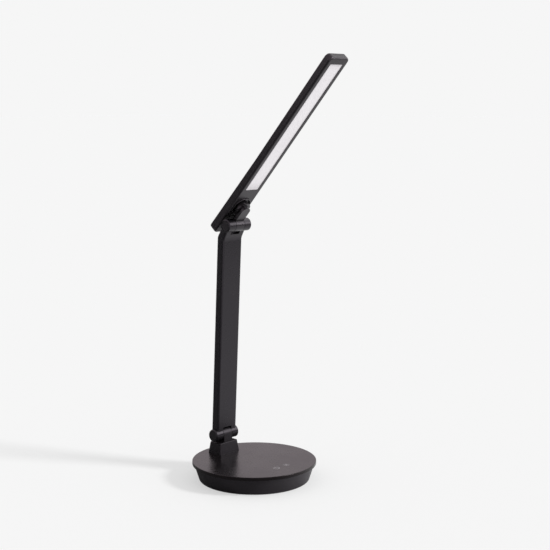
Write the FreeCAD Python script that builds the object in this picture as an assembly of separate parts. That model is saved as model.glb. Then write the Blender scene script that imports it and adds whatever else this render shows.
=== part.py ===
import FreeCAD, Part
import math
import os

# Folding desk lamp: round weighted base, flat arm between two friction hinges, flat swivelling light head.
# The frame has its origin under the middle of the base, X along the hinge axes, -Y to the front, Z up.
# All sizes are in millimetres and all angles in degrees.

# Fits shared by all pieces
seat_clearance = 0.15
thread_clearance = 0.05
running_clearance = 0.05
knuckle_gap = 0.5
cut_overrun = 5.0
plane_tolerance = 0.001
edge_limit_share = 0.4

# Screws
screw_radius = 1.5
screw_head_radius = 2.8
screw_head_height = 1.8
screw_length = 9.0
boss_wall = 1.8

# Base cover, tray and foot
base_radius = 75.2
base_height = 24.0
rim_height = 4.3
cover_plate = 2.6
cover_edge_radius = 0.7
rim_overhang = 2.3
tray_taper = 6.2
tray_wall = 2.2
tray_floor = 2.2
tray_edge_radius = 2.5
skirt_height = 2.5
skirt_wall = 1.6
foot_edge_margin = 4.9
foot_thickness = 1.0
foot_recess = 0.5
base_screw_margin = 8.0
base_screw_seat = 2.0
base_screw_count = 4

# Ballast in the base
ballast_margin = 2.0
ballast_thickness = 6.0
ballast_screw_circle_share = 0.6
ballast_screw_count = 3
ballast_screw_head_radius = 4.5
ballast_post_radius = 3.2
ballast_post_drop = 0.2

# Touch board under the front of the cover
touch_pitch = 17.1
touch_margin = 30.4
touch_pad_radius = 4.5
touch_pad_height = 4.0
board_length = 44.0
board_width = 18.0
board_thickness = 1.6
board_screw_inset = 4.0

# Supply inlet at the back of the tray
inlet_width = 9.0
inlet_height = 3.2
inlet_depth = 7.4
inlet_shell_wall = 0.3
inlet_rise = 2.3
inlet_set_back = 0.8
inlet_tongue_width = 6.6
inlet_tongue_thickness = 0.7
inlet_tongue_depth = 4.6
inlet_board_length = 22.0
inlet_board_width = 12.0
inlet_board_thickness = 1.2
inlet_board_overlap = 3.9
inlet_screw_inset = 3.2

# Pedestal that carries the lower hinge
pedestal_spread = 0.8
pedestal_side_taper = 2.1
pedestal_bottom_depth = 22.3
pedestal_bottom_corner = 2.6
pedestal_top_depth = 18.6
pedestal_top_corner = 2.2
pedestal_edge_radius = 0.6
pedestal_height = 13.7
knuckle_rise_gap = 1.4
pedestal_wall = 2.4
pedestal_screw_inset = 4.2

# Hinges
hinge_margin = 22.9
barrel_radius = 7.8
barrel_overhang = 2.55
barrel_chamfer = 1.0
knuckle_width = 13.6
bolt_radius = 2.0
bolt_head_radius = 3.8
bolt_head_height = 3.0
nut_across_flats = 7.0
nut_height = 3.2
washer_margin = 1.4
washer_thickness = 0.4
cap_margin = 1.5
cap_thickness = 1.2
cap_chamfer = 0.3
cap_set_back = 0.15

# Arm
arm_lean = 2.81
arm_length = 261.7
arm_width = 32.5
arm_thickness = 11.3
arm_edge_radius = 2.8
arm_front_wall = 2.2
neck_offset = 10.4
neck_start = 17.2
neck_back_start = 14.5
neck_front_drop_share = 0.66
neck_front_reach_share = 0.13
neck_back_share = 0.9
neck_bend_radius = 10.0
neck_lead_angle = 38.0
lower_notch_gap = 1.9
upper_notch_drop = 11.4
upper_notch_depth = 6.0
upper_notch_shoulder = 4.0
arm_cover_thickness = 2.0
arm_cover_margin = 3.6
arm_cover_start = 16.0
arm_cover_end_gap = 26.0
arm_cover_corner = 2.0
arm_cavity_ledge = 1.8
arm_cavity_end_ledge = 9.0
arm_screw_inset = 4.2
arm_screw_length = 4.2
arm_screw_radius = 1.2
arm_screw_head_radius = 2.4
arm_screw_head_height = 1.2
recess_width_share = 0.3
recess_length_share = 1.2
recess_depth_share = 0.6

# Bracket between the upper hinge and the head
head_tilt = 42.1
tongue_low = 0.9
tongue_thickness = 4.6
rib_wall = 1.2
swivel_reach = 21.8
hub_radius = 9.8
hub_gap = 0.3
spigot_radius = 6.0
swivel_washer_thickness = 0.4
retainer_radius = 9.0
retainer_thickness = 1.0
swivel_screw_spacing = 7.8
swivel_screw_radius = 1.1
swivel_screw_head_radius = 1.9
swivel_screw_head_height = 0.9
swivel_screw_length = 5.2

# Head
head_offset = 9.5
head_width = 33.1
head_thickness = 9.1
head_root = 22.0
head_tip = 250.9
root_rise = 2.0
root_rise_length = 113.0
root_rise_bend = 400.0
head_corner = 5.2
head_under_edge_radius = 2.2
head_top_edge_radius = 1.4
head_wall = 1.8
head_seam_height = 3.2
head_frame_plate = 2.0
head_shell_plate = 1.6
head_lip_height = 0.9
head_lip_wall = 0.9
window_bezel = 6.05
window_start = 49.0
window_end_margin = 8.7
window_corner = 0.8
collar_radius = 13.7
collar_wall = 1.0
collar_height = 1.2
collar_edge_radius = 0.4
swivel_recess = 1.1
diffuser_flange = 1.8
diffuser_flange_thickness = 1.2
diffuser_set_back = 0.5
led_board_width = 20.0
led_board_thickness = 1.0
led_length = 3.0
led_width = 2.4
led_height = 0.8
led_row_spacing = 10.0
led_rows = 2
leds_per_row = 18

# Leads
lead_radius = 1.2
lead_channel_radius = 1.6
lead_bend_radius = 6.0
lead_gap = 0.05
knuckle_lead_offset = 4.7
supply_lead_offset = 3.2
supply_lead_side = 12.0
supply_lead_turn = 14.0

V = FreeCAD.Vector
X_AXIS = V(1, 0, 0)
Y_AXIS = V(0, 1, 0)
Z_AXIS = V(0, 0, 1)
ORIGIN = V(0, 0, 0)

# Levels in the base, worked out from the sizes above
tray_bottom = foot_thickness - foot_recess
floor_top = tray_bottom + tray_floor
rim_bottom = base_height - rim_height
cover_inner = base_height - cover_plate
tray_top_radius = base_radius - rim_overhang
tray_bottom_radius = tray_top_radius - tray_taper
tray_slope = (tray_top_radius - tray_bottom_radius) / (rim_bottom - tray_bottom)
foot_radius = tray_bottom_radius - foot_edge_margin
base_screw_circle = tray_bottom_radius - base_screw_margin
base_screw_seat_level = foot_thickness + screw_head_height + thread_clearance
tray_boss_top = base_screw_seat_level + base_screw_seat
tray_boss_radius = screw_head_radius + boss_wall
cover_boss_radius = screw_radius + boss_wall
ballast_radius = base_screw_circle - tray_boss_radius - ballast_margin
ballast_top = floor_top + ballast_thickness
board_top = cover_inner - touch_pad_height
board_bottom = board_top - board_thickness
touch_front = base_radius - touch_margin
inlet_middle_height = ballast_top + inlet_rise

# Hinge places and the knuckles along them
hinge_back = base_radius - hinge_margin
pedestal_top = base_height + pedestal_height
hinge_level = pedestal_top + knuckle_rise_gap + barrel_radius
pedestal_bottom_width = arm_width + 2 * pedestal_spread
pedestal_top_width = pedestal_bottom_width - 2 * pedestal_side_taper
knuckle_half = knuckle_width / 2
arm_knuckle_start = knuckle_half + knuckle_gap
arm_knuckle_end = arm_width / 2 + barrel_overhang
cap_radius = barrel_radius - cap_margin
washer_radius = barrel_radius - washer_margin
cap_seat = arm_knuckle_end - cap_set_back - cap_thickness
bolt_seat = cap_seat - max(bolt_head_height, nut_height) - running_clearance

# Levels across the head, counted from the upper hinge axis towards the top of the head
frame_top = head_offset + head_frame_plate
seam_level = head_offset + head_seam_height
head_top = head_offset + head_thickness
shell_inner = head_top - head_shell_plate
collar_low = head_offset - collar_height
collar_inner = collar_radius - collar_wall
recess_level = head_offset + swivel_recess
tongue_top = tongue_thickness - tongue_low
rib_half = lead_channel_radius + rib_wall
rib_top = knuckle_lead_offset + rib_half
hub_top = recess_level - hub_gap
washer_low = frame_top + running_clearance
retainer_low = washer_low + swivel_washer_thickness
retainer_top = retainer_low + retainer_thickness
window_end = head_tip - window_end_margin
window_half = head_width / 2 - window_bezel


def cylinder(radius, start, end):
    """Round bar from one point to another."""
    return Part.makeCylinder(radius, (end - start).Length, start, end - start)


def block(x_range, y_range, z_range):
    """Rectangular block between two limits along each axis."""
    corner = V(x_range[0], y_range[0], z_range[0])
    size = V(x_range[1], y_range[1], z_range[1]) - corner
    return Part.makeBox(size.x, size.y, size.z, corner)


def cross_bar(radius, x_range, y, z):
    """Round bar along X at the given place."""
    return cylinder(radius, V(x_range[0], y, z), V(x_range[1], y, z))


def upright(radius, x, y, z_range):
    """Round bar along Z at the given place."""
    return cylinder(radius, V(x, y, z_range[0]), V(x, y, z_range[1]))


def through_flat(radius, x, z, y_range):
    """Round bar square to the flat of the arm or the head at the given place."""
    return cylinder(radius, V(x, y_range[0], z), V(x, y_range[1], z))


def turned(outline):
    """Solid of revolution about Z from (radius, height) points."""
    points = [V(radius, 0, height) for radius, height in outline]
    face = Part.Face(Part.makePolygon(points + points[:1]))
    return face.revolve(ORIGIN, Z_AXIS, 360)


def polar(radius, degrees):
    """X and Y of a point at the given distance and direction from the middle of the base."""
    return radius * math.cos(math.radians(degrees)), radius * math.sin(math.radians(degrees))


def rounded_rectangle(u_range, v_range, corner, place):
    """Closed outline with round corners; place(u, v) puts a point of it in space."""
    (u_low, u_high), (v_low, v_high) = u_range, v_range
    centres = (
        (u_high - corner, v_low + corner, -90),
        (u_high - corner, v_high - corner, 0),
        (u_low + corner, v_high - corner, 90),
        (u_low + corner, v_low + corner, 180),
    )
    arcs = []
    for u, v, first in centres:
        points = []
        for degrees in (first, first + 45, first + 90):
            du, dv = polar(corner, degrees)
            points.append(place(u + du, v + dv))
        arcs.append(points)
    edges = []
    for points, following in zip(arcs, arcs[1:] + arcs[:1]):
        edges.append(Part.Arc(*points).toShape())
        edges.append(Part.LineSegment(points[2], following[0]).toShape())
    return Part.Wire(edges)


def flat_plate(half_width, z_range, corner, y_range):
    """Flat plate with round corners that lies along the arm or the head."""
    wire = rounded_rectangle((-half_width, half_width), z_range, corner, lambda u, v: V(u, y_range[0], v))
    return Part.Face(wire).extrude(V(0, y_range[1] - y_range[0], 0))


def stadium_bar(width, height, y_range, z):
    """Bar along Y with a flat round-ended section."""
    half = (width - height) / 2
    radius = height / 2
    bar = block((-half, half), y_range, (z - radius, z + radius))
    for x in (-half, half):
        bar = bar.fuse(cylinder(radius, V(x, y_range[0], z), V(x, y_range[1], z)))
    return bar.removeSplitter()


def tapered_block(bottom, top, y, z_range):
    """Block between two rounded rectangles, each given as (width, depth, corner)."""
    wires = []
    for (width, depth, corner), z in zip((bottom, top), z_range):
        sides = (-width / 2, width / 2), (y - depth / 2, y + depth / 2)
        wires.append(rounded_rectangle(*sides, corner, lambda u, v, level=z: V(u, v, level)))
    return Part.makeLoft(wires, True, True)


def circle_edges(shape, radius):
    """Whole round edges of the given radius."""
    found = []
    for edge in shape.Edges:
        if isinstance(edge.Curve, Part.Circle) and abs(edge.Curve.Radius - radius) < plane_tolerance:
            found.append(edge)
    return found


def edges_on_plane(shape, normal, level):
    """Edges that lie wholly in the plane square to normal at the given level."""
    found = []
    for edge in shape.Edges:
        box = edge.BoundBox
        low = V(box.XMin, box.YMin, box.ZMin).dot(normal)
        high = V(box.XMax, box.YMax, box.ZMax).dot(normal)
        if abs(low - level) < plane_tolerance and abs(high - level) < plane_tolerance:
            found.append(edge)
    return found


def rounded_path(points, bend_radius):
    """Open path of straight runs joined by tangent arcs of one radius."""
    edges = []
    start = points[0]
    for before, corner, after in zip(points, points[1:], points[2:]):
        back = (before - corner).normalize()
        ahead = (after - corner).normalize()
        half_angle = back.getAngle(ahead) / 2
        reach = bend_radius / math.tan(half_angle)
        bisector = (back + ahead).normalize()
        enter = corner + back * reach
        leave = corner + ahead * reach
        middle = corner + bisector * (bend_radius / math.sin(half_angle) - bend_radius)
        edges.append(Part.LineSegment(start, enter).toShape())
        edges.append(Part.Arc(enter, middle, leave).toShape())
        start = leave
    edges.append(Part.LineSegment(start, points[-1]).toShape())
    return edges


def lead_along(points, radius):
    """Round lead, or the channel for one, along a path with eased corners."""
    path = Part.Wire(rounded_path(points, lead_bend_radius))
    section = Part.Wire(Part.Circle(points[0], points[1] - points[0], radius).toShape())
    return path.makePipeShell([section], True, False)


def screw(seat, direction, length, radius, head_radius, head_height):
    """Pan-head screw whose head lies behind its seat and whose shank runs along direction."""
    head = cylinder(head_radius, seat - direction * head_height, seat)
    return head.fuse(cylinder(radius, seat, seat + direction * length)).removeSplitter()


def common_screw(seat, direction, length):
    """Screw of the size that most of the lamp uses."""
    return screw(seat, direction, length, screw_radius, screw_head_radius, screw_head_height)


def cross_recess(seat, direction, head_radius, head_height):
    """Crossed slots that a driver turns the screw by, cut into the outer face of its head."""
    half_length = head_radius * recess_length_share / 2
    half_width = head_radius * recess_width_share / 2
    z_range = -head_height, -head_height * (1 - recess_depth_share)
    slots = block((-half_length, half_length), (-half_width, half_width), z_range)
    slots = slots.fuse(block((-half_width, half_width), (-half_length, half_length), z_range))
    slots.Placement = FreeCAD.Placement(seat, FreeCAD.Rotation(Z_AXIS, direction))
    return slots


def screw_hole(seat, direction, length, radius):
    """Pilot hole for a screw that starts at its seat."""
    return cylinder(radius + thread_clearance, seat, seat + direction * length)


def on_arm(shape):
    """Takes a piece from the arm's own frame, at the lower hinge, to its place on the lamp."""
    moved = shape.copy()
    moved.rotate(ORIGIN, X_AXIS, arm_lean)
    moved.translate(V(0, hinge_back, hinge_level))
    return moved


def on_head(shape):
    """Takes a piece from the head's own frame, at the upper hinge, to its place on the lamp."""
    moved = shape.copy()
    moved.rotate(ORIGIN, X_AXIS, head_tilt)
    turn = FreeCAD.Rotation(X_AXIS, arm_lean)
    moved.translate(V(0, hinge_back, hinge_level) + turn.multVec(V(0, -neck_offset, arm_length)))
    return moved


def base_screw_places():
    """X and Y of the screws that hold the cover and the tray together."""
    step = 360 / base_screw_count
    return [polar(base_screw_circle, step * index + step / 2) for index in range(base_screw_count)]


def ballast_screw_places():
    """X and Y of the screws that hold the ballast plate."""
    circle = ballast_radius * ballast_screw_circle_share
    step = 360 / ballast_screw_count
    return [polar(circle, step * index) for index in range(ballast_screw_count)]


def touch_places():
    """X and Y of the two touch points."""
    return [(side * touch_pitch / 2, -touch_front) for side in (-1, 1)]


def board_screw_places():
    """X and Y of the touch board's screws."""
    reach = board_length / 2 - board_screw_inset
    return [(side * reach, -touch_front) for side in (-1, 1)]


def pedestal_screw_places():
    """X and Y of the screws that hold the pedestal."""
    reach = pedestal_top_width / 2 - pedestal_screw_inset
    return [(side * reach, hinge_back) for side in (-1, 1)]


def base_cover():
    """Round top plate with its rim, locating skirt, screw bosses and board posts."""
    skirt_outer = tray_top_radius - tray_wall - tray_slope * skirt_height - seat_clearance
    skirt_bottom = rim_bottom - skirt_height
    body = turned([
        (0, base_height),
        (base_radius, base_height),
        (base_radius, rim_bottom),
        (skirt_outer, rim_bottom),
        (skirt_outer, skirt_bottom),
        (skirt_outer - skirt_wall, skirt_bottom),
        (skirt_outer - skirt_wall, cover_inner),
        (0, cover_inner),
    ])
    edge_radius = min(cover_edge_radius, rim_height * edge_limit_share)
    body = body.makeFillet(edge_radius, circle_edges(body, base_radius))
    for x, y in base_screw_places():
        body = body.fuse(upright(cover_boss_radius, x, y, (tray_boss_top, cover_inner)))
    for x, y in board_screw_places():
        body = body.fuse(upright(cover_boss_radius, x, y, (board_top, cover_inner)))
    for x, y in base_screw_places():
        seat = V(x, y, base_screw_seat_level)
        body = body.cut(screw_hole(seat, Z_AXIS, screw_length + seat_clearance, screw_radius))
    for x, y in board_screw_places():
        depth = board_thickness + touch_pad_height - seat_clearance
        body = body.cut(screw_hole(V(x, y, board_bottom), Z_AXIS, depth, screw_radius))
    for x, y in pedestal_screw_places():
        body = body.cut(upright(screw_radius + seat_clearance, x, y, (cover_inner, base_height)))
    lead_y = hinge_back + knuckle_lead_offset
    return body.cut(upright(lead_channel_radius, 0, lead_y, (cover_inner, base_height))).removeSplitter()


def tray_outer_radius(level):
    """Outer radius of the tray's sloped wall at a level."""
    return tray_bottom_radius + tray_slope * (level - tray_bottom)


def inlet_mouth():
    """How far back the mouth of the supply inlet lies."""
    return tray_outer_radius(inlet_middle_height) - inlet_set_back


def inlet_board_top():
    """Level of the inlet board's upper face, which carries the inlet's shell."""
    return inlet_middle_height - inlet_height / 2


def inlet_board_range():
    """Front and back limits of the inlet board."""
    back = inlet_mouth() - inlet_depth + inlet_board_overlap
    return back - inlet_board_width, back


def inlet_screw_places():
    """X and Y of the inlet board's screws."""
    reach = inlet_board_length / 2 - inlet_screw_inset
    front = inlet_board_range()[0] + inlet_screw_inset
    return [(side * reach, front) for side in (-1, 1)]


def base_tray():
    """Sloped tray with its screw bosses, ballast posts, inlet posts, inlet slot and foot recess."""
    body = turned([
        (0, tray_bottom),
        (tray_bottom_radius, tray_bottom),
        (tray_top_radius, rim_bottom),
        (tray_top_radius - tray_wall, rim_bottom),
        (tray_outer_radius(floor_top) - tray_wall, floor_top),
        (0, floor_top),
    ])
    body = body.makeFillet(tray_edge_radius, circle_edges(body, tray_bottom_radius))
    inlet_post_top = inlet_board_top() - inlet_board_thickness
    for x, y in base_screw_places():
        body = body.fuse(upright(tray_boss_radius, x, y, (floor_top, tray_boss_top)))
    for x, y in ballast_screw_places():
        body = body.fuse(upright(ballast_post_radius, x, y, (floor_top, ballast_top - ballast_post_drop)))
    for x, y in inlet_screw_places():
        body = body.fuse(upright(screw_radius + boss_wall / 2, x, y, (floor_top, inlet_post_top)))
    for x, y in base_screw_places():
        head_hole = screw_head_radius + seat_clearance
        shank_hole = screw_radius + seat_clearance
        body = body.cut(upright(head_hole, x, y, (tray_bottom, base_screw_seat_level)))
        body = body.cut(upright(shank_hole, x, y, (base_screw_seat_level, tray_boss_top)))
    for x, y in ballast_screw_places():
        body = body.cut(upright(screw_radius + thread_clearance, x, y, (floor_top, ballast_top)))
    for x, y in inlet_screw_places():
        body = body.cut(upright(screw_radius + thread_clearance, x, y, (floor_top, inlet_post_top)))
    slot_range = inlet_mouth() - inlet_depth, tray_top_radius + cut_overrun
    slot_width = inlet_width + 2 * seat_clearance
    slot_height = inlet_height + 2 * seat_clearance
    body = body.cut(stadium_bar(slot_width, slot_height, slot_range, inlet_middle_height))
    recess = upright(foot_radius + seat_clearance, 0, 0, (tray_bottom, foot_thickness))
    return body.cut(recess).removeSplitter()


def base_screws():
    """Screws that come up through the tray into the cover's bosses, under the foot."""
    seats = [V(x, y, base_screw_seat_level) for x, y in base_screw_places()]
    return Part.makeCompound([common_screw(seat, Z_AXIS, screw_length) for seat in seats])


def foot_pad():
    """Soft round pad glued into the recess under the tray."""
    return upright(foot_radius, 0, 0, (0, foot_thickness))


def ballast_plate():
    """Steel disc that weighs the base down, threaded over the tray's posts."""
    z_range = floor_top, ballast_top
    body = upright(ballast_radius, 0, 0, z_range)
    for x, y in ballast_screw_places():
        body = body.cut(upright(ballast_post_radius + seat_clearance, x, y, z_range))
    return body


def ballast_screws():
    """Wide-head screws that clamp the ballast plate down on the tray."""
    screws = []
    for x, y in ballast_screw_places():
        sizes = screw_radius, ballast_screw_head_radius, screw_head_height
        screws.append(screw(V(x, y, ballast_top), -Z_AXIS, ballast_thickness - seat_clearance, *sizes))
    return Part.makeCompound(screws)


def control_board():
    """Touch and dimmer board, screwed under the cover's posts."""
    half = board_length / 2
    y_range = -touch_front - board_width / 2, -touch_front + board_width / 2
    body = block((-half, half), y_range, (board_bottom, board_top))
    for x, y in board_screw_places():
        body = body.cut(upright(screw_radius + seat_clearance, x, y, (board_bottom, board_top)))
    return body


def control_board_screws():
    """Screws that hold the touch board to the cover's posts."""
    length = board_thickness + touch_pad_height - 2 * seat_clearance
    seats = [V(x, y, board_bottom) for x, y in board_screw_places()]
    return Part.makeCompound([common_screw(seat, Z_AXIS, length) for seat in seats])


def touch_pads():
    """Conductive foam pads between the board and the cover, one under each touch mark."""
    pads = [upright(touch_pad_radius, x, y, (board_top, cover_inner)) for x, y in touch_places()]
    return Part.makeCompound(pads)


def inlet_shell():
    """Thin metal shell of the supply inlet."""
    y_range = inlet_mouth() - inlet_depth, inlet_mouth()
    hollow = y_range[0] + inlet_shell_wall, y_range[1] + cut_overrun
    walls = 2 * inlet_shell_wall
    outside = stadium_bar(inlet_width, inlet_height, y_range, inlet_middle_height)
    return outside.cut(stadium_bar(inlet_width - walls, inlet_height - walls, hollow, inlet_middle_height))


def inlet_tongue():
    """Contact tongue in the middle of the supply inlet."""
    back = inlet_mouth() - inlet_depth + inlet_shell_wall
    half = inlet_tongue_width / 2
    rise = inlet_tongue_thickness / 2
    z_range = inlet_middle_height - rise, inlet_middle_height + rise
    return block((-half, half), (back, back + inlet_tongue_depth), z_range)


def inlet_board():
    """Small board that carries the supply inlet on the tray's posts."""
    half = inlet_board_length / 2
    top = inlet_board_top()
    body = block((-half, half), inlet_board_range(), (top - inlet_board_thickness, top))
    for x, y in inlet_screw_places():
        body = body.cut(upright(screw_radius + seat_clearance, x, y, (top - inlet_board_thickness, top)))
    return body


def inlet_screws():
    """Screws that hold the inlet board to the tray's posts."""
    length = inlet_board_top() - floor_top - seat_clearance
    seats = [V(x, y, inlet_board_top()) for x, y in inlet_screw_places()]
    return Part.makeCompound([common_screw(seat, -Z_AXIS, length) for seat in seats])


def supply_lead():
    """Lead from the inlet board to the touch board."""
    low = inlet_board_top() + lead_radius + lead_gap
    high = board_bottom - lead_radius - lead_gap
    start_y = inlet_mouth() - inlet_depth - lead_gap
    turn_y = inlet_board_range()[0] - lead_bend_radius
    end_y = -touch_front + board_width / 2 - board_screw_inset
    points = [
        V(supply_lead_offset, start_y, low),
        V(supply_lead_offset, turn_y, low),
        V(supply_lead_side, turn_y - supply_lead_turn, low),
        V(supply_lead_side, end_y, high),
    ]
    return lead_along(points, lead_radius)


def base_lead_points():
    """Path of the lamp's lead from the touch board up through the pedestal's knuckle."""
    run_level = board_bottom - lead_radius - lead_gap
    rise_y = hinge_back + knuckle_lead_offset
    return [
        V(0, -touch_front, run_level),
        V(0, rise_y, run_level),
        V(0, rise_y, hinge_level + knuckle_lead_offset),
    ]


def base_lead():
    """Lead from the touch board to the lower hinge."""
    return lead_along(base_lead_points(), lead_radius)


def pedestal():
    """Tapered hollow block with the fixed middle knuckle of the lower hinge."""
    bottom = pedestal_bottom_width, pedestal_bottom_depth, pedestal_bottom_corner
    top = pedestal_top_width, pedestal_top_depth, pedestal_top_corner
    body = tapered_block(bottom, top, hinge_back, (base_height, pedestal_top))
    body = body.makeFillet(pedestal_edge_radius, edges_on_plane(body, Z_AXIS, pedestal_top))
    inner_bottom = [size - 2 * pedestal_wall for size in bottom[:2]] + [pedestal_bottom_corner / 2]
    inner_top = [size - 2 * pedestal_wall for size in top[:2]] + [pedestal_top_corner / 2]
    ceiling = pedestal_top - pedestal_wall
    body = body.cut(tapered_block(inner_bottom, inner_top, hinge_back, (base_height, ceiling)))
    boss_top = ceiling + pedestal_wall / 2
    for x, y in pedestal_screw_places():
        body = body.fuse(upright(screw_radius + boss_wall, x, y, (base_height, boss_top)))
    x_range = -knuckle_half, knuckle_half
    y_range = hinge_back - barrel_radius, hinge_back + barrel_radius
    body = body.fuse(block(x_range, y_range, (ceiling, hinge_level)))
    body = body.fuse(cross_bar(barrel_radius, x_range, hinge_back, hinge_level))
    for x, y in pedestal_screw_places():
        body = body.cut(screw_hole(V(x, y, base_height), Z_AXIS, screw_length - cover_plate, screw_radius))
    body = body.cut(cross_bar(bolt_radius + running_clearance, x_range, hinge_back, hinge_level))
    channel_y = hinge_back + knuckle_lead_offset
    channel_top = hinge_level + barrel_radius
    return body.cut(upright(lead_channel_radius, 0, channel_y, (ceiling, channel_top))).removeSplitter()


def pedestal_screws():
    """Screws that come up through the cover into the pedestal."""
    seats = [V(x, y, cover_inner) for x, y in pedestal_screw_places()]
    length = screw_length - seat_clearance
    return Part.makeCompound([common_screw(seat, Z_AXIS, length) for seat in seats])


def hinge_bolt(y, z):
    """Shoulder bolt whose head lies in the left knuckle."""
    head = cross_bar(bolt_head_radius, (-bolt_seat - bolt_head_height, -bolt_seat), y, z)
    return head.fuse(cross_bar(bolt_radius, (-bolt_seat, bolt_seat + nut_height), y, z)).removeSplitter()


def nut_corner_radius():
    """Radius of the circle through a nut's corners."""
    return nut_across_flats / 2 / math.cos(math.radians(30))


def hinge_nut(y, z):
    """Hexagon nut in the right knuckle."""
    points = []
    for index in range(6):
        across, up = polar(nut_corner_radius(), 60 * index)
        points.append(V(bolt_seat, y + across, z + up))
    body = Part.Face(Part.makePolygon(points + points[:1])).extrude(X_AXIS * nut_height)
    return body.cut(cross_bar(bolt_radius + thread_clearance, (bolt_seat, bolt_seat + nut_height), y, z))


def hinge_washers(y, z):
    """Friction washers, one against the inner face of each arm knuckle."""
    rings = []
    for side in (-1, 1):
        x_range = side * arm_knuckle_start, side * (arm_knuckle_start - washer_thickness)
        disc = cross_bar(washer_radius, x_range, y, z)
        rings.append(disc.cut(cross_bar(bolt_radius + thread_clearance, x_range, y, z)))
    return Part.makeCompound(rings)


def hinge_caps(y, z):
    """Round caps that close the two ends of a hinge barrel."""
    caps = []
    for side in (-1, 1):
        face = side * (cap_seat + cap_thickness)
        cap = cross_bar(cap_radius, (side * cap_seat, face), y, z)
        caps.append(cap.makeChamfer(cap_chamfer, edges_on_plane(cap, X_AXIS, face)))
    return Part.makeCompound(caps)


def arm_knuckles(y, z):
    """The arm's two outer knuckles of one hinge, solid, with chamfered ends."""
    knuckles = []
    for side in (-1, 1):
        end = side * arm_knuckle_end
        knuckle = cross_bar(barrel_radius, (side * arm_knuckle_start, end), y, z)
        knuckles.append(knuckle.makeChamfer(barrel_chamfer, edges_on_plane(knuckle, X_AXIS, end)))
    return knuckles


def knuckle_holes(y, z):
    """What is bored out of the arm's knuckles: bolt hole, head and nut pockets and cap seats."""
    end = arm_knuckle_end
    pocket_radius = max(bolt_head_radius, nut_corner_radius()) + seat_clearance
    holes = [cross_bar(bolt_radius + thread_clearance, (-end, end), y, z)]
    for side in (-1, 1):
        holes.append(cross_bar(pocket_radius, (side * bolt_seat, side * end), y, z))
        holes.append(cross_bar(cap_radius + seat_clearance, (side * cap_seat, side * end), y, z))
    return holes


def arm_bar():
    """Flat bar of the arm with its neck bent forward into the upper hinge and its long edges rounded."""
    half = arm_thickness / 2
    axis = V(0, -neck_offset, arm_length)
    front_end = axis - V(0, neck_front_reach_share, neck_front_drop_share) * barrel_radius
    back_end = axis + Y_AXIS * (barrel_radius * neck_back_share)
    front = [V(0, -half, 0), V(0, -half, arm_length - neck_start), front_end]
    back = [back_end, V(0, half, arm_length - neck_back_start), V(0, half, 0)]
    edges = rounded_path(front, neck_bend_radius)
    edges.append(Part.LineSegment(front_end, back_end).toShape())
    edges += rounded_path(back, neck_bend_radius)
    edges.append(Part.LineSegment(back[2], front[0]).toShape())
    face = Part.Face(Part.Wire(edges))
    face.translate(V(-arm_width / 2, 0, 0))
    bar = face.extrude(V(arm_width, 0, 0))
    end_middles = (front_end + back_end) / 2, ORIGIN
    long_edges = []
    for side in (-1, 1):
        shift = V(side * arm_width / 2, 0, 0)
        for edge in edges_on_plane(bar, X_AXIS, shift.x):
            middle = edge.CenterOfMass - shift
            if all((middle - end_middle).Length > plane_tolerance for end_middle in end_middles):
                long_edges.append(edge)
    return bar.makeFillet(arm_edge_radius, long_edges)


def arm_cover_half():
    """Half the width of the arm's back cover."""
    return arm_width / 2 - arm_cover_margin


def arm_cover_range():
    """Lower and upper ends of the arm's back cover, along the arm."""
    return arm_cover_start, arm_length - arm_cover_end_gap


def arm_cavity_middle():
    """Where the lead lies between the arm's front wall and its back cover."""
    front = -arm_thickness / 2 + arm_front_wall
    back = arm_thickness / 2 - arm_cover_thickness
    return (front + back) / 2


def arm_lead_points():
    """Path of the lead from the lower notch, up the arm, to the back of the upper knuckle."""
    lie = arm_cavity_middle()
    spread = math.radians(neck_lead_angle)
    exit_reach = barrel_radius + knuckle_gap
    exit_y = -neck_offset + exit_reach * math.sin(spread)
    exit_z = arm_length - exit_reach * math.cos(spread)
    return [
        V(0, lie, barrel_radius + lower_notch_gap),
        V(0, lie, exit_z - (lie - exit_y)),
        V(0, exit_y, exit_z),
    ]


def arm_screw_places():
    """X and Z of the screws of the arm's back cover."""
    low, high = arm_cover_range()
    inset = arm_cavity_end_ledge / 2
    reach = arm_cover_half() - arm_screw_inset
    return [(side * reach, z) for z in (low + inset, high - inset) for side in (-1, 1)]


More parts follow.
